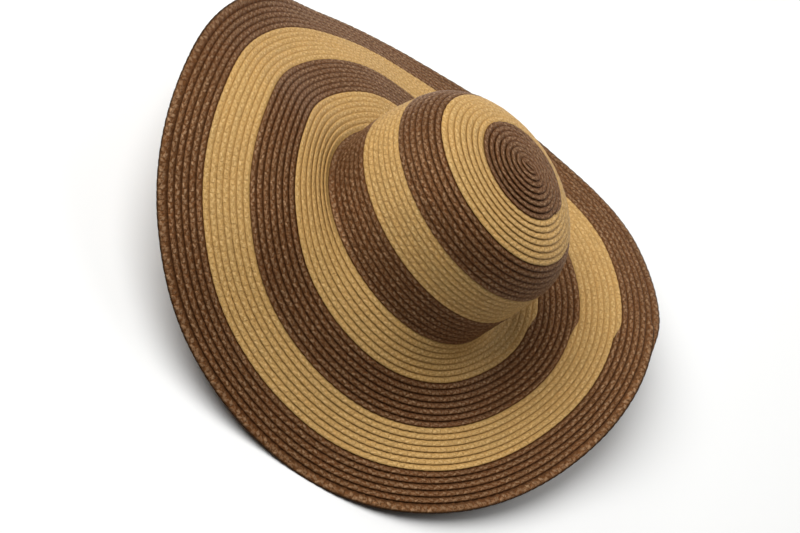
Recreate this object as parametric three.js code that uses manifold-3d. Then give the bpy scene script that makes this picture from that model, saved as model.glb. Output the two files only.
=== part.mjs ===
// Wide-brimmed beach hat, sewn turn over turn from one long spiral of paper braid in blocks of two colours.
// Millimetres, +Z up. The hat stands crown up on two low places of its wavy brim, which touch z = 0.
import * as THREE from "three";
import { mergeVertices } from "three/addons/utils/BufferGeometryUtils.js";
import Module from "manifold-3d";

const wasm = await Module();
wasm.setup();

// Braid: the width that each turn shows, the thickness of the sewn wall, and the gap between two pieces
const turnPitch = 5.1;
const wallThickness = 2;
const seamGap = 0.3;

// Crown: how steeply it falls on each side at lengths along the surface from the centre of the tip,
// in degrees below level
const crownSides = ["right", "back", "left", "front"];
const crownSections = [
  { length: 0, right: 3, back: 3, left: 3, front: 3 },
  { length: 14, right: 10, back: 9, left: 9, front: 9 },
  { length: 28, right: 15, back: 13, left: 14, front: 12 },
  { length: 41, right: 16, back: 18, left: 18, front: 11 },
  { length: 59, right: 22, back: 30, left: 24, front: 13 },
  { length: 77, right: 38, back: 47, left: 39, front: 38 },
  { length: 95, right: 62, back: 63, left: 64, front: 67 },
  { length: 112, right: 82, back: 77, left: 83, front: 84 },
  { length: 130, right: 84, back: 83, left: 85, front: 86 },
  { length: 148, right: 85, back: 85, left: 91, front: 83 },
  { length: 179, right: 86, back: 86, left: 100, front: 79 },
];
const crownLength = 179;

// The wall turns out into the brim over this length
const footLength = 7;

// The braid starts as a narrow loop, so every turn is a little longer this way
const loopAzimuth = 26;
const loopHalfLength = 4;

// Brim: how steeply it falls beside the crown, halfway out and at its edge, in degrees below level
const brimSections = [
  { azimuth: 0, root: 57, middle: -18, edge: -13 },
  { azimuth: 30, root: 5, middle: -42, edge: -22 },
  { azimuth: 60, root: -4, middle: -34, edge: -12 },
  { azimuth: 90, root: 13, middle: -7, edge: -5 },
  { azimuth: 120, root: 18, middle: 11, edge: 19 },
  { azimuth: 150, root: -1, middle: 20, edge: 24 },
  { azimuth: 180, root: -2, middle: 14, edge: -4 },
  { azimuth: 210, root: -20, middle: 17, edge: 22 },
  { azimuth: 240, root: -11, middle: 41, edge: 33 },
  { azimuth: 270, root: 27, middle: 51, edge: 30 },
  { azimuth: 300, root: 48, middle: 43, edge: 34 },
  { azimuth: 330, root: 67, middle: 12, edge: 6 },
];

// Spiral: the turns run out clockwise seen from above and are counted at the front of the hat.
// Each colour steps over to the next turn at the join.
const joinAzimuth = 36;
const frontAzimuth = 270;

// Colour blocks from the tip outward, each with its turns of braid and its rows of facets
const brown = "#6b5040";
const tan = "#c9a468";
const stripes = [
  { name: "crown_tip", turns: 8, colour: brown, rows: 3 },
  { name: "crown_tan_upper", turns: 7, colour: tan, rows: 4 },
  { name: "crown_brown_upper", turns: 7, colour: brown, rows: 5 },
  { name: "crown_tan_lower", turns: 7, colour: tan, rows: 2 },
  { name: "crown_brown_lower", turns: 7, colour: brown, rows: 7 },
  { name: "brim_tan_inner", turns: 7, colour: tan, rows: 7 },
  { name: "brim_brown_inner", turns: 7, colour: brown, rows: 3 },
  { name: "brim_tan_outer", turns: 7, colour: tan, rows: 3 },
  { name: "brim_brown_outer", turns: 6.8, colour: brown, rows: 3 },
];

// Standing: the crown leans until the hat's weight is over the two low places of its brim, front and back,
// and the floor flattens the edge there by this much
const leanAngle = 17.5;
const leanAzimuth = 52.6;
const footFlattening = 0.8;
const floorBlock = { width: 600, depth: 40 };

// Fineness of the facets, and the small steps used to follow a meridian and to find which way a wall faces
const facetsAround = 60;
const meridianStep = 1;
const normalStep = { length: 1, azimuth: 1 };

const radians = THREE.MathUtils.degToRad;
const clamp = THREE.MathUtils.clamp;
const lerp = THREE.MathUtils.lerp;
const totalTurns = stripes.reduce((sum, stripe) => sum + stripe.turns, 0);
const brimStart = crownLength + footLength;
const brimLength = totalTurns * turnPitch - brimStart;

// A value at any azimuth, on a smooth closed curve through values at even steps round the hat
function aroundHat(values, azimuth) {
  const count = values.length;
  const place = THREE.MathUtils.euclideanModulo(azimuth, 360) * count / 360;
  const index = Math.floor(place);
  const t = place - index;
  const [before, from, to, after] = [-1, 0, 1, 2].map((step) => values[(index + step + count) % count]);
  const tangentFrom = (to - before) / 2;
  const tangentTo = (after - from) / 2;
  return (2 * t ** 3 - 3 * t ** 2 + 1) * from + (t ** 3 - 2 * t ** 2 + t) * tangentFrom
    + (3 * t ** 2 - 2 * t ** 3) * to + (t ** 3 - t ** 2) * tangentTo;
}

// The crown's slope runs evenly from one section to the next
function crownSlope(length, azimuth) {
  const between = crownSections.slice(1, -1);
  const index = between.filter((section) => section.length <= length).length;
  const from = crownSections[index];
  const to = crownSections[index + 1];
  const t = clamp((length - from.length) / (to.length - from.length), 0, 1);
  return aroundHat(crownSides.map((side) => lerp(from[side], to[side], t)), azimuth);
}

// The brim's slope runs on a parabola from its root through the middle to the edge
function brimSlope(length, section) {
  const t = clamp((length - brimStart) / brimLength, 0, 1);
  return section.root * (1 - t) * (1 - 2 * t) + section.middle * 4 * t * (1 - t)
    + section.edge * t * (2 * t - 1);
}

// Outline of the hat in the upright plane at one azimuth: radius and height at every step of its length
const meridians = new Map();

function meridian(azimuth) {
  if (meridians.has(azimuth)) {
    return meridians.get(azimuth);
  }
  const across = (column) => aroundHat(brimSections.map((section) => section[column]), azimuth);
  const section = { root: across("root"), middle: across("middle"), edge: across("edge") };
  const outline = [{ radius: 0, height: 0 }];
  const end = brimStart + brimLength + 2 * turnPitch;
  for (let length = meridianStep / 2; length < end; length += meridianStep) {
    const foot = clamp((length - crownLength) / footLength, 0, 1);
    const slope = radians(lerp(crownSlope(length, azimuth), brimSlope(length, section), foot));
    const last = outline[outline.length - 1];
    outline.push({
      radius: last.radius + meridianStep * Math.cos(slope),
      height: last.height - meridianStep * Math.sin(slope),
    });
  }
  meridians.set(azimuth, outline);
  return outline;
}

// A point of the upper surface in the hat's own frame, with the centre of the tip at the origin
function surfacePoint(azimuth, length) {
  const outline = meridian(azimuth);
  const place = length / meridianStep;
  const index = Math.floor(place);
  const t = place - index;
  const radius = lerp(outline[index].radius, outline[index + 1].radius, t);
  const height = lerp(outline[index].height, outline[index + 1].height, t);
  const angle = radians(azimuth);
  const along = radians(loopAzimuth);
  const stretch = loopHalfLength * Math.cos(angle - along);
  return new THREE.Vector3(
    radius * Math.cos(angle) + stretch * Math.cos(along),
    radius * Math.sin(angle) + stretch * Math.sin(along),
    height,
  );
}

function surfaceNormal(azimuth, length) {
  const near = Math.max(length, 2 * normalStep.length);
  const outward = surfacePoint(azimuth, near + normalStep.length)
    .sub(surfacePoint(azimuth, near - normalStep.length));
  const round = surfacePoint(azimuth + normalStep.azimuth, near)
    .sub(surfacePoint(azimuth - normalStep.azimuth, near));
  return outward.cross(round).normalize();
}

// Length from the tip at which the spiral has made this many turns, at one of the facet azimuths
function turnLength(turns, facet) {
  const turnsToFront = (joinAzimuth + 360 - frontAzimuth) / 360;
  return turnPitch * (turns - turnsToFront + facet / facetsAround);
}

// A closed thin wall over rings of points: every ring lists [upper, under] points clockwise round the hat.
// A ring of one point closes a disc at its centre.
function wallGeometry(rings) {
  const positions = [];
  const indices = [];
  const starts = [];
  for (const ring of rings) {
    starts.push(positions.length / 3);
    for (const [upper, under] of ring) {
      positions.push(...upper.toArray(), ...under.toArray());
    }
  }
  const vertex = (ring, facet, side) => starts[ring] + 2 * (facet % rings[ring].length) + side;
  const quad = (a, b, c, d) => indices.push(a, b, c, a, c, d);
  for (let facet = 0; facet < facetsAround; facet += 1) {
    for (let ring = 0; ring + 1 < rings.length; ring += 1) {
      const corners = (side) => [
        vertex(ring, facet, side),
        vertex(ring, facet + 1, side),
        vertex(ring + 1, facet + 1, side),
        vertex(ring + 1, facet, side),
      ];
      const [innerFrom, innerTo, outerTo, outerFrom] = corners(0);
      const [underInnerFrom, underInnerTo, underOuterTo, underOuterFrom] = corners(1);
      indices.push(innerFrom, outerTo, outerFrom, underInnerFrom, underOuterFrom, underOuterTo);
      if (innerFrom !== innerTo) {
        indices.push(innerFrom, innerTo, outerTo, underInnerFrom, underOuterTo, underInnerTo);
      }
    }
    const rim = rings.length - 1;
    quad(
      vertex(rim, facet, 0),
      vertex(rim, facet + 1, 0),
      vertex(rim, facet + 1, 1),
      vertex(rim, facet, 1),
    );
    if (rings[0].length > 1) {
      quad(vertex(0, facet, 1), vertex(0, facet + 1, 1), vertex(0, facet + 1, 0), vertex(0, facet, 0));
    }
  }
  const geometry = new THREE.BufferGeometry();
  geometry.setAttribute("position", new THREE.Float32BufferAttribute(positions, 3));
  geometry.setIndex(indices);
  return geometry;
}

// One colour block: rows of facets from its first turn to its last, less half the gap at each side
function stripeGeometry(stripe, turnsBefore) {
  const rings = [];
  for (let row = 0; row <= stripe.rows; row += 1) {
    const ring = [];
    const onAxis = turnsBefore === 0 && row === 0;
    for (let facet = 0; facet < (onAxis ? 1 : facetsAround); facet += 1) {
      const azimuth = joinAzimuth - facet * 360 / facetsAround;
      const inner = turnsBefore === 0 ? 0 : turnLength(turnsBefore, facet) + seamGap / 2;
      const outer = turnLength(turnsBefore + stripe.turns, facet) - seamGap / 2;
      const length = lerp(inner, outer, row / stripe.rows);
      const upper = onAxis ? new THREE.Vector3() : surfacePoint(azimuth, length);
      const facing = onAxis ? new THREE.Vector3(0, 0, 1) : surfaceNormal(azimuth, length);
      ring.push([upper, upper.clone().addScaledVector(facing, -wallThickness)]);
    }
    rings.push(ring);
  }
  return wallGeometry(rings);
}

// The turn that leans the hat's own axis as it stands
function standingTurn() {
  const towards = radians(leanAzimuth);
  const hinge = new THREE.Vector3(-Math.sin(towards), Math.cos(towards), 0);
  return new THREE.Quaternion().setFromAxisAngle(hinge, radians(leanAngle));
}

function toSolid(geometry) {
  const bare = mergeVertices(geometry);
  return new wasm.Manifold(new wasm.Mesh({
    numProp: 3,
    vertProperties: new Float32Array(bare.getAttribute("position").array),
    triVerts: new Uint32Array(bare.getIndex().array),
  }));
}

function fromSolid(solid) {
  const mesh = solid.getMesh();
  const geometry = new THREE.BufferGeometry();
  geometry.setAttribute("position", new THREE.Float32BufferAttribute(mesh.vertProperties, 3));
  geometry.setIndex(Array.from(mesh.triVerts));
  return geometry;
}

// The brim edge lies flat on the floor where the hat rests on it
function flattenFeet(geometry) {
  const floor = new THREE.BoxGeometry(floorBlock.width, floorBlock.width, floorBlock.depth);
  floor.deleteAttribute("normal");
  floor.deleteAttribute("uv");
  floor.translate(0, 0, -floorBlock.depth / 2);
  return fromSolid(toSolid(geometry).subtract(toSolid(floor)));
}

// All colour blocks in the hat's own frame
const blocks = [];
let turnsBefore = 0;
for (const stripe of stripes) {
  blocks.push({ stripe, geometry: stripeGeometry(stripe, turnsBefore) });
  turnsBefore += stripe.turns;
}

// Turned and lowered on to the floor, with the middle of the whole hat's box over the origin
const edgeBlock = blocks[blocks.length - 1];
const turn = standingTurn();
const box = new THREE.Box3();
for (const { geometry } of blocks) {
  geometry.applyQuaternion(turn);
  geometry.computeBoundingBox();
  box.union(geometry.boundingBox);
}
const middle = box.getCenter(new THREE.Vector3());
for (const { geometry } of blocks) {
  geometry.translate(-middle.x, -middle.y, -box.min.z - footFlattening);
}
edgeBlock.geometry = flattenFeet(edgeBlock.geometry);

const hat = new THREE.Group();
for (const { stripe, geometry } of blocks) {
  const material = new THREE.MeshStandardMaterial({ color: stripe.colour, roughness: 0.7, metalness: 0 });
  const mesh = new THREE.Mesh(geometry, material);
  mesh.name = stripe.name;
  hat.add(mesh);
}

export default hat;
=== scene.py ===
# Wide-brimmed beach hat, sewn turn over turn from one spiral of paper braid in dark brown and tan.
import math

import bpy
import numpy as np
from mathutils import Matrix, Vector


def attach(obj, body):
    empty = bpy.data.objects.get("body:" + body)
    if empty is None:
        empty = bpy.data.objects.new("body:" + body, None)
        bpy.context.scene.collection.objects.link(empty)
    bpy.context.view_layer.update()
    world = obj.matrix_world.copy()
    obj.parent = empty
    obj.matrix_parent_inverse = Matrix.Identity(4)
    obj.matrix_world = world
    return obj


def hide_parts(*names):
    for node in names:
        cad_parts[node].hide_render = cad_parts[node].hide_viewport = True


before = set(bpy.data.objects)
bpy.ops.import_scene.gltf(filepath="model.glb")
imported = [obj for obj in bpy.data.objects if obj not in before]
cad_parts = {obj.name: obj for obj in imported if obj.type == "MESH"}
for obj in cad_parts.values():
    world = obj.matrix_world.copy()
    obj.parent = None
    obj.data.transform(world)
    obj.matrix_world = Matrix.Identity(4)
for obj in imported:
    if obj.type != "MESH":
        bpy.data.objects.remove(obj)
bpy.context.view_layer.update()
print("frame loaded:", len(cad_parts), "nodes")

mm = 0.001    # the hat's lengths are in millimetres, the studio's in metres, and angles in degrees

# Crown: how steeply each side falls, at lengths along the surface from the centre of the tip
crown = {
    "sides": ("right", "back", "left", "front"),
    "sections": [
        {"length": 0, "right": 3, "back": 3, "left": 3, "front": 3},
        {"length": 14, "right": 10, "back": 9, "left": 9, "front": 9},
        {"length": 28, "right": 15, "back": 13, "left": 14, "front": 12},
        {"length": 41, "right": 16, "back": 18, "left": 18, "front": 11},
        {"length": 59, "right": 22, "back": 30, "left": 24, "front": 13},
        {"length": 77, "right": 38, "back": 47, "left": 39, "front": 38},
        {"length": 95, "right": 62, "back": 63, "left": 64, "front": 67},
        {"length": 112, "right": 82, "back": 77, "left": 83, "front": 84},
        {"length": 130, "right": 84, "back": 83, "left": 85, "front": 86},
        {"length": 148, "right": 85, "back": 85, "left": 91, "front": 83},
        {"length": 179, "right": 86, "back": 86, "left": 100, "front": 79},
    ],
    "length": 179,
    "footLength": 7,        # the wall turns out into the brim over this length
    "loopAzimuth": 26,      # the braid starts as a narrow loop this way
    "loopHalfLength": 4,
}

# Brim: slope beside the crown, halfway out and at the edge, in even steps all the way round
brim = {
    "places": ("root", "middle", "edge"),
    "sections": [
        {"azimuth": 0, "root": 57, "middle": -18, "edge": -13},
        {"azimuth": 30, "root": 5, "middle": -42, "edge": -22},
        {"azimuth": 60, "root": -4, "middle": -34, "edge": -12},
        {"azimuth": 90, "root": 13, "middle": -7, "edge": -5},
        {"azimuth": 120, "root": 18, "middle": 11, "edge": 19},
        {"azimuth": 150, "root": -1, "middle": 20, "edge": 24},
        {"azimuth": 180, "root": -2, "middle": 14, "edge": -4},
        {"azimuth": 210, "root": -20, "middle": 17, "edge": 22},
        {"azimuth": 240, "root": -11, "middle": 41, "edge": 33},
        {"azimuth": 270, "root": 27, "middle": 51, "edge": 30},
        {"azimuth": 300, "root": 48, "middle": 43, "edge": 34},
        {"azimuth": 330, "root": 67, "middle": 12, "edge": 6},
    ],
}

# Spiral: runs out clockwise seen from above, counted at the front, and changes colour at the join
spiral = {
    "pitch": 5.1,
    "joinAzimuth": 36,
    "frontAzimuth": 270,
    "edgeTurns": 63.8,    # turns of even pitch that would reach the edge of the brim
    "outerPitch": 5.33,   # pitch of the rows in the outermost stripe
    "outerFrom": 58,
    "lastTurn": 62,       # the last row starts here and shows its full width
}
turnsToFront = (spiral["joinAzimuth"] + 360 - spiral["frontAzimuth"]) / 360
brimStart = crown["length"] + crown["footLength"]
brimLength = spiral["edgeTurns"] * spiral["pitch"] - brimStart

# Meridians of the hat, one for every half degree, in steps of 1 mm and three rows past the edge
azimuthStep = 0.5
azimuths = np.arange(0, 360 + azimuthStep, azimuthStep)
lengths = np.arange(0, brimStart + brimLength + 3 * spiral["pitch"])


# Values at even steps round the hat, joined by a smooth closed curve
def aroundHat(values, azimuth):
    place = (azimuth % 360) * len(values) / 360
    index = np.floor(place).astype(int)
    t = (place - index)[:, None]
    before, start, end, after = (values[(index + step) % len(values)] for step in (-1, 0, 1, 2))
    return ((2 * t**3 - 3 * t**2 + 1) * start + (t**3 - 2 * t**2 + t) * (end - before) / 2
            + (3 * t**2 - 2 * t**3) * end + (t**3 - t**2) * (after - start) / 2)


# Distance from the axis and height, for every azimuth and every length from the tip
def meridianTable():
    middle = (lengths[:-1] + lengths[1:]) / 2
    marks = [section["length"] for section in crown["sections"]]
    sides = [np.interp(middle, marks, [section[side] for section in crown["sections"]])
             for side in crown["sides"]]
    crownSlope = aroundHat(np.array(sides), azimuths)
    t = np.clip((middle - brimStart) / brimLength, 0, 1)
    slopes = [np.array([[section[place]] for section in brim["sections"]], float)
              for place in brim["places"]]
    root, half, edge = (aroundHat(slope, azimuths) for slope in slopes)
    brimSlope = root * (1 - t) * (1 - 2 * t) + half * 4 * t * (1 - t) + edge * t * (2 * t - 1)
    foot = np.clip((middle - crown["length"]) / crown["footLength"], 0, 1)
    slope = np.radians(crownSlope + (brimSlope - crownSlope) * foot)
    none = np.zeros((len(azimuths), 1))
    return (np.concatenate([none, np.cumsum(np.cos(slope), 1)], 1),
            np.concatenate([none, -np.cumsum(np.sin(slope), 1)], 1))


radii, heights = meridianTable()


# A point of the upper surface, with the centre of the tip at the origin
def surface(azimuth, length):
    turn = (azimuth % 360) / azimuthStep
    i = np.minimum(turn.astype(int), len(azimuths) - 2)
    j = np.minimum(length.astype(int), len(lengths) - 2)
    u, v = turn - i, length - j

    def read(table):
        near = table[i, j] * (1 - v) + table[i, j + 1] * v
        far = table[i + 1, j] * (1 - v) + table[i + 1, j + 1] * v
        return near * (1 - u) + far * u

    radius, angle, loop = read(radii), np.radians(azimuth), math.radians(crown["loopAzimuth"])
    stretch = crown["loopHalfLength"] * np.cos(angle - loop)
    return np.stack([radius * np.cos(angle) + stretch * math.cos(loop),
                     radius * np.sin(angle) + stretch * math.sin(loop), read(heights)], -1)


# Read over 1 mm and 1 degree to either side, and never at the very centre of the tip
def outwardNormal(azimuth, length):
    near = np.maximum(length, 2)
    out = surface(azimuth, near + 1) - surface(azimuth, near - 1)
    beside = surface(azimuth + 1, near) - surface(azimuth - 1, near)
    normal = np.cross(out, beside)
    return normal / np.linalg.norm(normal, axis=-1, keepdims=True)


# How the hat stands on the low front and back of its brim, and where that puts the centre of the tip
stand = {
    "leanAngle": 17.5,
    "leanAzimuth": 52.6,
    "tipPlace": (26.69, 21.76, 183.47),
}
towards = math.radians(stand["leanAzimuth"])
hinge = Vector((-math.sin(towards), math.cos(towards), 0))
standTurn = np.array(Matrix.Rotation(math.radians(stand["leanAngle"]), 3, hinge))
standShift = np.array(stand["tipPlace"])
print("meridians drawn:", len(azimuths), "outlines of", len(lengths), "points")

# One band of braid: its section from the covered inner edge over the top to the outer edge and back.
# share: place across the part that shows, beyond: millimetres more, lift: height over the wall's face,
# dip: how far it sinks between two cells of the plait
braid = {
    "section": [
        {"share": 0.00, "beyond": -1.3, "lift": -1.74, "dip": 0.00},
        {"share": 0.03, "beyond": 0.0, "lift": -1.42, "dip": -0.50},
        {"share": 0.18, "beyond": 0.0, "lift": -0.99, "dip": -0.38},
        {"share": 0.36, "beyond": 0.0, "lift": -0.58, "dip": -0.15},
        {"share": 0.56, "beyond": 0.0, "lift": -0.23, "dip": 0.08},
        {"share": 0.76, "beyond": 0.0, "lift": -0.02, "dip": 0.18},
        {"share": 0.92, "beyond": 0.0, "lift": -0.06, "dip": 0.20},
        {"share": 1.00, "beyond": 0.0, "lift": -0.42, "dip": 0.16},
        {"share": 0.96, "beyond": 0.0, "lift": -1.00, "dip": 0.06},
        {"share": 0.50, "beyond": 0.0, "lift": -1.60, "dip": -0.12},
        {"share": 0.12, "beyond": 0.0, "lift": -2.10, "dip": -0.12},
        {"share": 0.00, "beyond": -1.3, "lift": -2.35, "dip": 0.00},
    ],
    "topPoints": 8,         # the first of these points, up to the free edge
    # one cell of the plait, from where it comes up to where it goes under the next
    "cell": [
        {"part": 0.00, "rise": 0.00},
        {"part": 0.14, "rise": 0.42},
        {"part": 0.34, "rise": 0.88},
        {"part": 0.60, "rise": 1.00},
        {"part": 0.82, "rise": 0.90},
        {"part": 0.93, "rise": 0.42},
    ],
    "cellLength": 7.9,
    "uneven": 0.09,         # of a cell's length
    "slant": 0.7,           # a cell's end leans this far over the width of the row
    "slantSpread": 0.6,
    "depths": (0.6, 1.3),   # share of the rise, from cell to cell
    "puff": 0.06,           # uneven height of the top
    "puffAbove": -0.6,      # points that lie higher than this take part
    "scallop": 0.25,        # the free edge draws in between two cells
    "scallopRise": 0.8,     # the rise at which it keeps its place
    "scallopPower": 4,      # how soon this fades across the row
    "wander": 0.12,         # uneven sewing
    "wanderInner": 0.4,     # share of it at the covered edge
    "wanderWaves": [
        {"perTurn": 3.1, "share": 0.4},
        {"perTurn": 7.3, "share": 0.35},
        {"perTurn": 17.7, "share": 0.25},
    ],
    "tuck": 6.0,            # a new colour starts this far under the last
    "tuckLift": -0.5,
    "taper": 16.0,          # and the last one runs out over it
    "taperLift": 0.15,
    "tailWidth": 0.8,       # what is left of its width at the end
    "leastHeight": 0.3,     # a narrow end is thinner too, down to this share
    "edgeTaper": 35.0,      # longer at the edge of the brim
    "edgeEarly": 16.0,      # where it starts before the join
    "edgeLift": -0.6,
    "edgeTail": 1.05,       # rows that the end draws in there
    "flatTip": 0.38,        # pressed flatter in the middle of the tip
    "flatTurns": 6,         # over this many turns
    "startTurn": -0.45,     # the folded end in the middle of the tip
    "leastLength": 0.2,     # nothing lies nearer to the middle than this
    "leastRadius": 4,       # of the first turn, where tuck and taper are measured
    "widening": 0.008,      # turns over which the last row comes to its full width
    "rimRate": 60,          # the dark rim comes in over one turn divided by this
    "guideSteps": 360,      # points in a turn of the line that the cells are measured on
    "cellsApart": 1000,     # between the stripes, so that no two have the same straws
    "closing": 2.4,         # across the row, where the section closes on itself
}


# Length from the tip of the seam after this many turns
def seam(turns):
    even = spiral["pitch"] * (turns - turnsToFront)
    wide = (spiral["outerPitch"] - spiral["pitch"]) * np.maximum(turns - spiral["outerFrom"], 0)
    return np.maximum(even + wide, 0)


# 0 to 1, level at both ends
def smooth(t):
    t = np.clip(t, 0, 1)
    return t * t * (3 - 2 * t)


# Length from the tip of a row's free edge: the last row reaches the edge of the brim
def outerEdge(turns):
    toEnd = spiral["edgeTurns"] - turnsToFront + np.minimum(turns - spiral["lastTurn"], 1)
    plain = seam(turns + 1)
    widened = smooth((turns - spiral["lastTurn"]) / braid["widening"] + 1)
    return plain + (spiral["pitch"] * toEnd - plain) * widened


# Once round the hat in millimetres, after this many turns
def turnLength(turns):
    return 2 * math.pi * max(np.interp(seam(turns), lengths, radii[0]), braid["leastRadius"])


# The rings of a band between two counts of turns: their turns, their cells and how far along they are
def plaitRings(start, end, dice):
    fine = np.linspace(start, end, int((end - start) * braid["guideSteps"]) + 2)
    middle = surface(spiral["joinAzimuth"] - 360 * fine,
                     np.maximum((seam(fine) + outerEdge(fine)) / 2, braid["leastLength"]))
    run = np.concatenate([[0], np.cumsum(np.linalg.norm(np.diff(middle, axis=0), axis=1))])
    count = int(run[-1] / braid["cellLength"])
    sizes = 1 + dice.normal(0, braid["uneven"], count)
    ends = np.concatenate([[0], np.cumsum(sizes)]) * run[-1] / sizes.sum()
    parts = np.array([ring["part"] for ring in braid["cell"]])
    cells = np.append((np.arange(count)[:, None] + parts).ravel(), count)
    runs = np.interp(cells, np.arange(count + 1), ends)
    return np.interp(runs, run, fine), cells, runs


# Where every point of a band lies, in millimetres, with the turns, cells and runs of its rings
def sewnBand(firstTurn, lastTurn, isEdge, dice):
    isTip = firstTurn <= 0
    start = braid["startTurn"] if isTip else firstTurn - braid["tuck"] / turnLength(firstTurn)
    taper = braid["edgeTaper"] if isEdge else braid["taper"]
    turns, cells, runs = plaitRings(start, lastTurn + taper / turnLength(lastTurn), dice)
    turnsPerLength = np.gradient(turns, runs)

    # Both ends: 0 to 1 over the start, and 0 to 1 over the tapered end
    early = braid["edgeEarly"] if isEdge else 0
    runOut = smooth(((turns - lastTurn) * turnLength(lastTurn) + early) / (taper + early))
    begin = smooth((turns - start) * turnLength(firstTurn) / (braid["tuck"] + braid["taper"]))
    firstLift = 0 if isTip else braid["tuckLift"]
    lastLift = braid["edgeLift"] if isEdge else braid["taperLift"]
    endLift = firstLift * (1 - begin) + lastLift * runOut

    # Cells: each with its own slant, depth and height
    ends = np.arange(int(cells[-1]) + 2)
    slant = np.interp(cells, ends, dice.normal(braid["slant"], braid["slantSpread"], len(ends)))
    depth = np.interp(cells, ends, dice.uniform(*braid["depths"], len(ends)))
    rise = np.interp(cells % 1, [ring["part"] for ring in braid["cell"]] + [1],
                     [ring["rise"] for ring in braid["cell"]] + [0])
    rise = 1 - (1 - rise) * depth
    puff = np.interp(cells, ends + 0.5, dice.normal(0, braid["puff"], len(ends)))
    wander = braid["wander"] * sum(
        wave["share"] * np.sin(2 * math.pi * (turns * wave["perTurn"] + dice.random()))
        for wave in braid["wanderWaves"])
    flat = braid["flatTip"] + (1 - braid["flatTip"]) * smooth(turns / braid["flatTurns"])

    rings = []
    for point in braid["section"]:
        share = point["share"]
        here = turns + slant * (share - 0.5) * turnsPerLength
        inner, outer = seam(here), outerEdge(here)
        drawnIn = braid["edgeTail"] * spiral["pitch"] if isEdge else outer - inner - braid["tailWidth"]
        outer = outer - drawnIn * runOut
        narrow = np.clip((outer - inner) / spiral["pitch"], braid["leastHeight"], 1)
        sewing = wander * (braid["wanderInner"] + (1 - braid["wanderInner"]) * share)
        scallop = share ** braid["scallopPower"] * braid["scallop"] * (rise - braid["scallopRise"])
        length = inner + (outer - inner) * share + point["beyond"] + sewing
        length = np.maximum(length + scallop, braid["leastLength"])
        bulge = puff * (point["lift"] > braid["puffAbove"])
        lift = (point["lift"] - point["dip"] * (1 - rise) + bulge) * narrow * flat + endLift
        azimuth = spiral["joinAzimuth"] - 360 * here
        rings.append(surface(azimuth, length) + outwardNormal(azimuth, length) * lift[:, None])
    points = np.stack(rings, 1) @ standTurn.T + standShift
    points[..., 2] = np.maximum(points[..., 2], 0)    # pressed flat on the floor
    return points, turns, cells, runs


# A closed tube through rings of points, as a mesh in metres
def tubeMesh(name, points):
    count, around = points.shape[:2]
    index = np.arange(count * around).reshape(count, around)
    follow = np.roll(index, -1, axis=1)
    faces = np.stack([index[:-1], index[1:], follow[1:], follow[:-1]], -1).reshape(-1, 4)
    corners = np.concatenate([faces.ravel(), index[0], index[-1][::-1]])
    totals = np.concatenate([np.full(len(faces), 4), [around, around]])
    starts = np.concatenate([[0], np.cumsum(totals)[:-1]])
    mesh = bpy.data.meshes.new(name)
    mesh.vertices.add(count * around)
    mesh.vertices.foreach_set("co", (points * mm).astype(np.float32).ravel())
    mesh.loops.add(len(corners))
    mesh.loops.foreach_set("vertex_index", corners.astype(np.int32))
    mesh.polygons.add(len(totals))
    mesh.polygons.foreach_set("loop_start", starts.astype(np.int32))
    mesh.polygons.foreach_set("use_smooth", np.ones(len(totals), bool))
    mesh.update(calc_edges=True)
    return mesh


# The values of a map at the four corners of each face, along the band and round its section
def cornersAlong(values):
    return np.stack([values[:-1], values[1:], values[1:], values[:-1]], -1)[:, None]


def cornersRound(values):
    return np.stack([values[:-1], values[:-1], values[1:], values[1:]], -1)[None]


# Writes one map: the faces along the band first, then its two end faces
def layMap(mesh, name, u, v, capU, capV):
    sides = np.stack(np.broadcast_arrays(u, v), -1).reshape(-1, 2)
    corners = np.concatenate([sides, np.stack([capU, capV], -1)])
    mesh.uv_layers.new(name=name).uv.foreach_set("vector", corners.astype(np.float32).ravel())


# The braid's own coordinates: u counts its cells, v goes from 0 to 1 over the top, from the covering
# row to the outer edge, and from 1 to 2 back underneath
def layBraidMap(mesh, cells, stripeNumber):
    shares = [point["share"] + point["beyond"] / spiral["pitch"] for point in braid["section"]]
    across = [share if i < braid["topPoints"] else 2 - share for i, share in enumerate(shares)]
    along = cells + braid["cellsApart"] * stripeNumber
    layMap(mesh, "braidRun", cornersAlong(along), cornersRound(np.array(across + [braid["closing"]])),
           np.repeat(along[[0, -1]], len(across)), np.array(across + across[::-1]))


# A second map for baking: the band cut into lengths that lie one above the other, the two ends on top
bakeSheet = {
    "slack": 1.01,        # of a length's room
    "left": 0.003,
    "width": 0.985,
    "gap": 0.05,          # of a row's height, below each
    "height": 0.9,
    "ends": (0.1, 0.3),   # where the two ends lie
    "endHeight": 0.5,
}


def layBakeMap(mesh, runs):
    profile = np.array([[point["share"] * spiral["pitch"] + point["beyond"], point["lift"]]
                        for point in braid["section"]])
    sides = np.linalg.norm(np.roll(profile, -1, axis=0) - profile, axis=1)
    girth = sides.sum()
    rows = max(int(math.sqrt(runs[-1] / girth)), 1)
    rowLength = runs[-1] / rows * bakeSheet["slack"]
    row = (runs[:-1] / rowLength).astype(int)[:, None, None]
    wrap = cornersRound(np.concatenate([[0], np.cumsum(sides)]) / girth)
    u = bakeSheet["left"] + bakeSheet["width"] * (cornersAlong(runs) / rowLength - row)
    v = (row + bakeSheet["gap"] + bakeSheet["height"] * wrap) / (rows + 1)
    ends = np.concatenate([profile, profile[::-1]])
    endU = np.repeat(bakeSheet["ends"], len(profile)) + ends[:, 0] / rowLength
    endV = (rows + bakeSheet["endHeight"] + bakeSheet["height"] * ends[:, 1] / girth) / (rows + 1)
    layMap(mesh, "OFBake", u, v, endU, endV)


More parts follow.
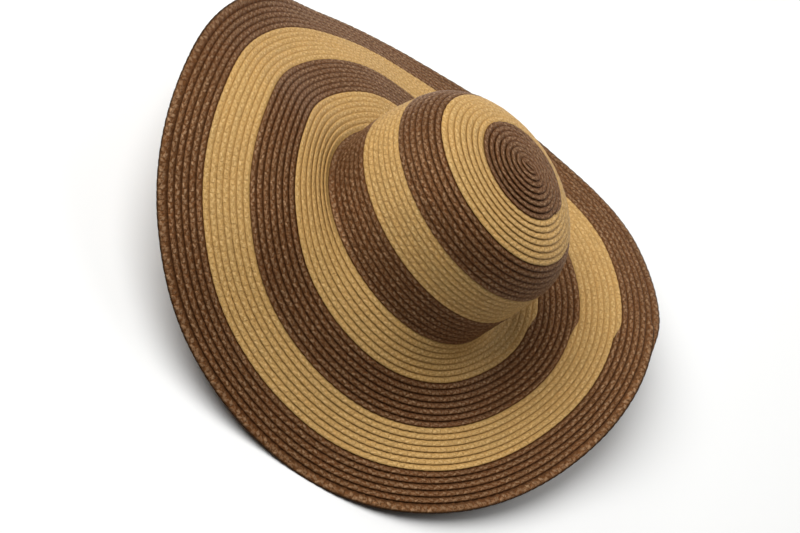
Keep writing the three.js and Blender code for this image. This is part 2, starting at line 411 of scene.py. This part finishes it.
# One closed band of braid along the spiral, with its two maps and the dark rim of the brim
def bandMesh(name, firstTurn, lastTurn, seed):
    isEdge = lastTurn > spiral["lastTurn"]
    points, turns, cells, runs = sewnBand(firstTurn, lastTurn, isEdge, np.random.default_rng(seed))
    mesh = tubeMesh(name, points)
    layBraidMap(mesh, cells, seed % 10)    # the last digit counts the stripes
    layBakeMap(mesh, runs)
    rim = np.zeros(points.shape[:2])
    if isEdge:
        edge = slice(braid["topPoints"] - 2, braid["topPoints"] + 2)    # two points to either side
        rim[:, edge] = smooth((turns - spiral["lastTurn"]) * braid["rimRate"] + 1)[:, None]
    attribute = mesh.attributes.new("brimEdge", "FLOAT", "POINT")
    attribute.data.foreach_set("value", rim.astype(np.float32).ravel())
    mesh.validate()
    return mesh


# Wraps a socket, so that shader maths reads as plain expressions
class Wire:
    def __init__(self, tree, socket):
        self.tree, self.socket = tree, socket

    # Any node: its type, its settings, the values or links of its sockets, and the output wanted
    def place(self, kind, settings, values, out=0):
        node = self.tree.nodes.new(kind)
        for name, value in settings.items():
            setattr(node, name, value)
        for name, value in values.items():
            socket = node.inputs[name]
            if isinstance(value, Wire):
                self.tree.links.new(value.socket, socket)
            elif socket.type == "RGBA":
                socket.default_value = (*value, 1)
            else:
                socket.default_value = value
        return Wire(self.tree, node.outputs[out])

    def number(self, operation, *terms):
        return self.place("ShaderNodeMath", {"operation": operation}, dict(enumerate(terms)))

    # Numbers go through Math, vectors through Vector Math and colours through Mix, where they are
    # sockets 6 and 7 and output 2
    def joined(self, operation, left, right):
        kinds = {term.socket.type for term in (left, right) if isinstance(term, Wire)}
        if "RGBA" in kinds:
            settings = {"data_type": "RGBA", "blend_type": operation, "clamp_result": False}
            return self.place("ShaderNodeMix", settings,
                              {0: 1.0, 6: self.colour(left), 7: self.colour(right)}, 2)
        if "VECTOR" in kinds:
            return self.place("ShaderNodeVectorMath", {"operation": operation}, {0: left, 1: right})
        return self.number(operation, left, right)

    # A value as a grey, and a colour as it is
    def colour(self, term):
        if isinstance(term, Wire) and term.socket.type == "VALUE":
            return self.place("ShaderNodeCombineColor", {}, {0: term, 1: term, 2: term})
        return term

    def __add__(self, other):
        return self.joined("ADD", self, other)

    def __radd__(self, other):
        return self.joined("ADD", other, self)

    def __sub__(self, other):
        return self.joined("SUBTRACT", self, other)

    def __rsub__(self, other):
        return self.joined("SUBTRACT", other, self)

    def __mul__(self, other):
        return self.joined("MULTIPLY", self, other)

    def __rmul__(self, other):
        return self.joined("MULTIPLY", other, self)

    def __mod__(self, other):
        return self.number("FLOORED_MODULO", self, other)

    def whole(self):
        return self.number("FLOOR", self)

    # Distance from a middle, whichever the side
    def away(self):
        return self.number("ABSOLUTE", self)

    def orMore(self, other):
        return self.number("MAXIMUM", self, other)

    # A random value of 0 to 1 for every whole number
    def dice(self):
        return self.place("ShaderNodeTexWhiteNoise", {"noise_dimensions": "1D"}, {"W": self}, "Value")

    # 0 at low and 1 at high, smooth between, and low may be the larger one
    def step(self, low, high):
        return self.place("ShaderNodeMapRange", {"interpolation_type": "SMOOTHSTEP"},
                          {"Value": self, "From Min": low, "From Max": high})

    def mixed(self, first, second):
        return self.place("ShaderNodeMix", {"data_type": "RGBA"},
                          {0: self, 6: self.colour(first), 7: self.colour(second)}, 2)


brownPaper = {
    "name": "brownPaperBraid",
    "colour": (0.114, 0.0445, 0.0146),
    "warm": (0.113, 0.0412, 0.0128),    # in patches
    "paintedShadeColour": (0.027, 0.008, 0.003),      # painted shade colour: valleys, gaps and pits between the cells
    "shine": (0.372, 0.230, 0.126),     # painted highlight colour of straws that catch the light
    "spark": 0.70,                      # how strongly that highlight is painted
    "pit": 0.44,                        # painted shade in the gaps between them
    "spread": 0.10,                     # from cell to cell
    "glint": 0.25,                      # painted highlight on the top of each cell
    "tick": 0.35,                       # painted shade in the gap at its end
    "paintedValleyShade": 0.68,                     # painted shade along the covering row
    "valleyWidth": 0.42,
    "roughness": 0.43,
    "specular": 0.36,
    "gloss": (1.0, 0.64, 0.34),         # the dye tints what the paper mirrors
    "sheen": 0.25,                      # share of the colour that is mirrored, not scattered
}
tanPaper = {
    "name": "tanPaperBraid",
    "colour": (0.482, 0.286, 0.091),
    "warm": (0.468, 0.268, 0.081),
    "paintedShadeColour": (0.200, 0.092, 0.024),
    "shine": (0.745, 0.500, 0.210),
    "spark": 0.60,
    "pit": 0.30,
    "spread": 0.07,
    "glint": 0.12,
    "tick": 0.45,
    "paintedValleyShade": 0.29,
    "valleyWidth": 0.24,
    "roughness": 0.55,
    "specular": 0.28,
    "gloss": (1.0, 1.0, 1.0),
    "sheen": 0.0,
}

# What both papers share. Grains: waves in a cell and across a row, lean, place in the noise and detail.
# Places are shares of a cell or of a row, and a pair says where something starts and where it is whole
weave = {
    "strand": {"along": 2.1, "across": 2.6, "lean": 0.5, "depth": 3, "detail": 2.0},      # with the row
    "fleck": {"along": 5.5, "across": 3.6, "lean": 1.5, "depth": 3.0, "detail": 2.0},     # short
    "fibre": {"along": 3.0, "across": 22.0, "lean": 1.2, "depth": 7.0, "detail": 2.0},    # fine
    "patch": {"along": 0.13, "across": 0.0, "lean": 0.0, "depth": 5.0, "detail": 1.0},    # over cells
    "spark": {"along": 2.4, "across": 3.8, "lean": 1.2, "depth": 11.0, "detail": 1.0},
    "pit": {"along": 4.2, "across": 4.4, "lean": -1.2, "depth": 17.0, "detail": 1.0},
    "grainRoughness": 0.6,
    # The next entries place painted shade in the gaps, the valley and at the free edge, and painted
    # highlights on the ridge, the straws and the cell tops
    "tick": {"fleck": 0.08, "ends": (0.02, 0.10), "middle": 0.55, "sides": (0.42, 0.10), "least": 0.15},
    "paintedValleyShade": {"strand": 0.25, "start": -0.04, "ends": (0.08, 0.24), "least": 0.40},
    "freeEdge": {"fleck": 0.15, "from": 1.04, "width": 0.5, "to": 1.0, "share": 0.8},
    "ridge": {"middle": 0.58, "sides": (0.44, 0.14)},
    "straw": {"inCell": 2.0, "fleck": 0.5, "inner": 0.43, "outer": 0.27, "slant": 0.25, "strand": 0.12,
              "sides": (0.24, 0.07), "ends": (0.50, 0.26), "least": 0.25},
    "glint": {"part": 0.72, "fleck": 0.4, "ends": (0.34, 0.04),
              "middle": 0.60, "strand": 0.3, "sides": (0.26, 0.03)},
    # where the painted highlight specks and the painted shade pits begin
    "sparkFrom": (0.0, 0.10),
    "sparkShare": 0.55,
    "pitFrom": (0.02, 0.13),
    "warmFrom": (0.35, 0.65),
    "tone": {"patch": 0.3, "strand": 0.30, "fleck": 0.35, "fibre": 0.25},
    "rough": {"dark": 0.25, "glint": 0.06, "fibre": 0.2},
    "relief": {"strand": 0.55, "fleck": 0.45, "fibre": 0.10, "tick": 0.14, "glint": 0.10,
               "spark": 0.20, "pit": 0.14},
    "bump": 0.8,
    "bumpHeight": 0.0012,
    "rimDark": 0.7,
    "ior": 1.45,
}


def paperBraid(look):
    material = bpy.data.materials.new(look["name"])
    material.use_nodes = True
    tree = material.node_tree
    tree.nodes.clear()
    start = Wire(tree, None)
    run = start.place("ShaderNodeUVMap", {"uv_map": "braidRun"}, {})
    along = start.place("ShaderNodeSeparateXYZ", {}, {0: run}, "X")
    across = start.place("ShaderNodeSeparateXYZ", {}, {0: run}, "Y")
    below = across.step(1.0, 1.02)                  # 1 on the underside
    side = across + below * (2.0 - 2 * across)      # place across the row, on either side
    part = along % 1.0                              # place along one cell
    spot = start.place("ShaderNodeCombineXYZ", {}, {0: along, 1: side})
    cellDice = along.whole().dice()                 # the added 0.5 and 0.3 keep the dice apart
    endDice = ((along + 0.5).whole() + 0.5).dice()

    # Noise along and across the row, each in its own layer
    def grain(name, depth=1.0):
        waves = weave[name]
        lean, layer = along * waves["lean"], depth * waves["depth"]
        slide = start.place("ShaderNodeCombineXYZ", {}, {1: lean, 2: layer})
        return start.place("ShaderNodeTexNoise", {}, {
            "Vector": spot * (waves["along"], waves["across"], 0.0) + slide,
            "Scale": 1.0, "Detail": waves["detail"], "Roughness": weave["grainRoughness"],
        }, "Fac") - 0.5

    strand = grain("strand", cellDice)              # another layer in every cell
    fleck, fibre, patch = grain("fleck"), grain("fibre"), grain("patch")

    # Painted shade in the gap between two cells, a little different at each
    gap = weave["tick"]
    toEnd = 0.5 - (part - 0.5).away() + fleck * gap["fleck"]
    tick = (1 - toEnd.step(*gap["ends"])) * (side - gap["middle"]).away().step(*gap["sides"])
    tick = tick * (gap["least"] + endDice * (1 - gap["least"]))

    # Painted shade in the valley beside the covering row, and a narrower band of it where the free edge
    # rolls under
    groove, free, width = weave["paintedValleyShade"], weave["freeEdge"], look["valleyWidth"]
    paintedValleyShade = 1 - (side + strand * groove["strand"]).step(groove["start"], width)
    paintedEdgeShade = (side + fleck * free["fleck"]).step(free["from"] - width * free["width"], free["to"])
    paintedValleyShade = paintedValleyShade.orMore(paintedEdgeShade * free["share"])
    paintedValleyShade = paintedValleyShade * (groove["least"] + (1 - groove["least"]) * toEnd.step(*groove["ends"]))

    # Each cell shows two straws, one slanting in and the next slanting out, with a painted highlight dash
    # in the middle of each
    lay = weave["straw"]
    straws = along * lay["inCell"]
    outward = straws.whole() % 2.0
    straw = straws % 1.0 - 0.5 + fleck * lay["fleck"]
    strawDice = (straws.whole() + 0.3).dice()
    middle = lay["inner"] + outward * lay["outer"] + straw * (outward * (2 * lay["slant"]) - lay["slant"])
    dash = (side - middle + strand * lay["strand"]).away().step(*lay["sides"])
    dash = dash * straw.away().step(*lay["ends"]) * (lay["least"] + strawDice * (1 - lay["least"]))

    # Painted highlights: specks on the ridge of the row that catch the light, and painted shade in the
    # pits between them; then a painted highlight on the top of each cell
    ridge = (side - weave["ridge"]["middle"]).away().step(*weave["ridge"]["sides"])
    spark = grain("spark").step(*weave["sparkFrom"]) * ridge
    spark = (spark * weave["sparkShare"]).orMore(dash)
    pit = grain("pit").step(*weave["pitFrom"])
    top = weave["glint"]
    glint = (part - top["part"] + fleck * top["fleck"]).away().step(*top["ends"])
    glint = glint * (side - top["middle"] + strand * top["strand"]).away().step(*top["sides"])

    # Colour: uneven from cell to cell, then painted highlights on the straws and cell tops, painted shade
    # in the valleys, gaps and pits, and the darker rim of the brim
    tone = 1 + (cellDice - 0.5) * look["spread"]
    for field, name in ((patch, "patch"), (strand, "strand"), (fleck, "fleck"), (fibre, "fibre")):
        tone = tone + field * weave["tone"][name]
    base = (patch + 0.5).step(*weave["warmFrom"]).mixed(look["colour"], look["warm"])
    # a painted highlight: the top of each cell is lighter
    base = base * (tone + glint * look["glint"])
    # a painted highlight: straws and specks mixed towards the shine colour
    base = (spark * look["spark"]).mixed(base, look["shine"])
    # painted shade: gaps, valleys and pits mixed towards the shade colour
    dark = (tick * look["tick"]).orMore(paintedValleyShade * look["paintedValleyShade"]).orMore(pit * look["pit"])
    base = dark.mixed(base, look["paintedShadeColour"])
    rim = start.place("ShaderNodeAttribute", {"attribute_name": "brimEdge"}, {}, "Fac")
    base = base * (1.0 - rim * weave["rimDark"])

    matt, high = weave["rough"], weave["relief"]
    rough = look["roughness"] + dark * matt["dark"] - glint * matt["glint"] + fibre * matt["fibre"]
    relief = (strand * high["strand"] + fleck * high["fleck"] + fibre * high["fibre"]
              - tick * high["tick"] + glint * high["glint"] + spark * high["spark"] - pit * high["pit"])
    bump = start.place("ShaderNodeBump", {}, {
        "Strength": weave["bump"], "Distance": weave["bumpHeight"], "Height": relief,
    })
    paper = start.place("ShaderNodeBsdfPrincipled", {}, {
        "Base Color": base, "Roughness": rough, "Normal": bump, "IOR": weave["ior"],
        "Specular IOR Level": look["specular"], "Specular Tint": look["gloss"], "Metallic": look["sheen"],
    })
    output = tree.nodes.new("ShaderNodeOutputMaterial")
    tree.links.new(paper.socket, output.inputs["Surface"])
    return material


finishes = {"brown_braid": paperBraid(brownPaper), "tan_braid": paperBraid(tanPaper)}
print("finishes made:", ", ".join(finishes))

# The nine stripes, from the tip outward
stripes = [
    {"node": "crown_tip", "slot": "brown_braid", "first": 0, "last": 8, "seed": 11},
    {"node": "crown_tan_upper", "slot": "tan_braid", "first": 8, "last": 15, "seed": 12},
    {"node": "crown_brown_upper", "slot": "brown_braid", "first": 15, "last": 22, "seed": 13},
    {"node": "crown_tan_lower", "slot": "tan_braid", "first": 22, "last": 29, "seed": 14},
    {"node": "crown_brown_lower", "slot": "brown_braid", "first": 29, "last": 36, "seed": 15},
    {"node": "brim_tan_inner", "slot": "tan_braid", "first": 36, "last": 43, "seed": 16},
    {"node": "brim_brown_inner", "slot": "brown_braid", "first": 43, "last": 50, "seed": 17},
    {"node": "brim_tan_outer", "slot": "tan_braid", "first": 50, "last": 57, "seed": 18},
    {"node": "brim_brown_outer", "slot": "brown_braid", "first": 57, "last": 63, "seed": 19},
]
for stripe in stripes:
    name = "braid_" + stripe["node"]
    mesh = bandMesh(name, stripe["first"], stripe["last"], stripe["seed"])
    band = bpy.data.objects.new(name, mesh)
    bpy.context.scene.collection.objects.link(band)
    mesh.materials.append(finishes[stripe["slot"]])
    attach(band, "root")
    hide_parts(stripe["node"])
    print("sewn:", name, len(mesh.polygons), "faces")

floor = {"size": 12, "colour": (0.90, 0.90, 0.89), "roughness": 0.9, "specular": 0.1}
floorMesh = bpy.data.meshes.new("floor")
half = floor["size"] / 2
floorMesh.from_pydata([(-half, -half, 0), (half, -half, 0), (half, half, 0), (-half, half, 0)],
                      [], [(0, 1, 2, 3)])
floorObject = bpy.data.objects.new("floor", floorMesh)
bpy.context.scene.collection.objects.link(floorObject)
floorPaint = bpy.data.materials.new("paleFloor")
floorPaint.use_nodes = True
floorSockets = floorPaint.node_tree.nodes["Principled BSDF"].inputs
floorSockets["Base Color"].default_value = (*floor["colour"], 1)
floorSockets["Roughness"].default_value = floor["roughness"]
floorSockets["Specular IOR Level"].default_value = floor["specular"]
floorMesh.materials.append(floorPaint)
print("floor laid")

camera = {
    "aim": (0.0131, 0.0120, 0.0),
    "distance": 1.6804,
    "azimuth": 6.980,
    "elevation": 49.427,
    "roll": 46.060,
    "lens": 90.3,
    "sensor": 36,
    "reach": 50,
}
view = bpy.data.cameras.new("camera")
view.lens = camera["lens"]
view.sensor_width = camera["sensor"]
view.clip_end = camera["reach"]
azimuth, elevation = math.radians(camera["azimuth"]), math.radians(camera["elevation"])
back = Vector((math.sin(azimuth) * math.cos(elevation), -math.cos(azimuth) * math.cos(elevation),
               math.sin(elevation)))
level = Vector((math.cos(azimuth), math.sin(azimuth), 0))
upright = back.cross(level)
roll = math.radians(camera["roll"])
right = level * math.cos(roll) + upright * math.sin(roll)
up = back.cross(right)
cameraObject = bpy.data.objects.new("camera", view)
cameraPlace = Matrix.Translation(Vector(camera["aim"]) + back * camera["distance"])
cameraObject.matrix_world = cameraPlace @ Matrix((right, up, back)).transposed().to_4x4()
bpy.context.scene.collection.objects.link(cameraObject)
bpy.context.scene.camera = cameraObject
print("camera set")

studio = {
    "distance": 2.4,
    "lamps": [
        {"name": "window", "towards": (-0.473, -0.163, 0.866), "size": 2.3, "power": 77},
        {"name": "counter", "towards": (0.0, 0.906, 0.423), "size": 1.6, "power": 13},
        {"name": "shelf", "towards": (0.406, 0.406, 0.819), "size": 1.6, "power": 11},
    ],
    "world": 0.04,
}
for lamp in studio["lamps"]:
    light = bpy.data.lights.new(lamp["name"], "AREA")
    light.shape, light.size, light.energy = "DISK", lamp["size"], lamp["power"]
    lampObject = bpy.data.objects.new(lamp["name"], light)
    towards = Vector(lamp["towards"]).normalized()
    lampObject.location = towards * studio["distance"]
    lampObject.rotation_mode = "QUATERNION"
    lampObject.rotation_quaternion = towards.to_track_quat("Z", "Y")
    bpy.context.scene.collection.objects.link(lampObject)
world = bpy.data.worlds.new("studio")
world.use_nodes = True
world.node_tree.nodes["Background"].inputs["Color"].default_value = (1, 1, 1, 1)
world.node_tree.nodes["Background"].inputs["Strength"].default_value = studio["world"]
bpy.context.scene.world = world
bpy.context.scene.view_settings.view_transform = "Standard"
print("studio lit:", len(studio["lamps"]), "lamps")
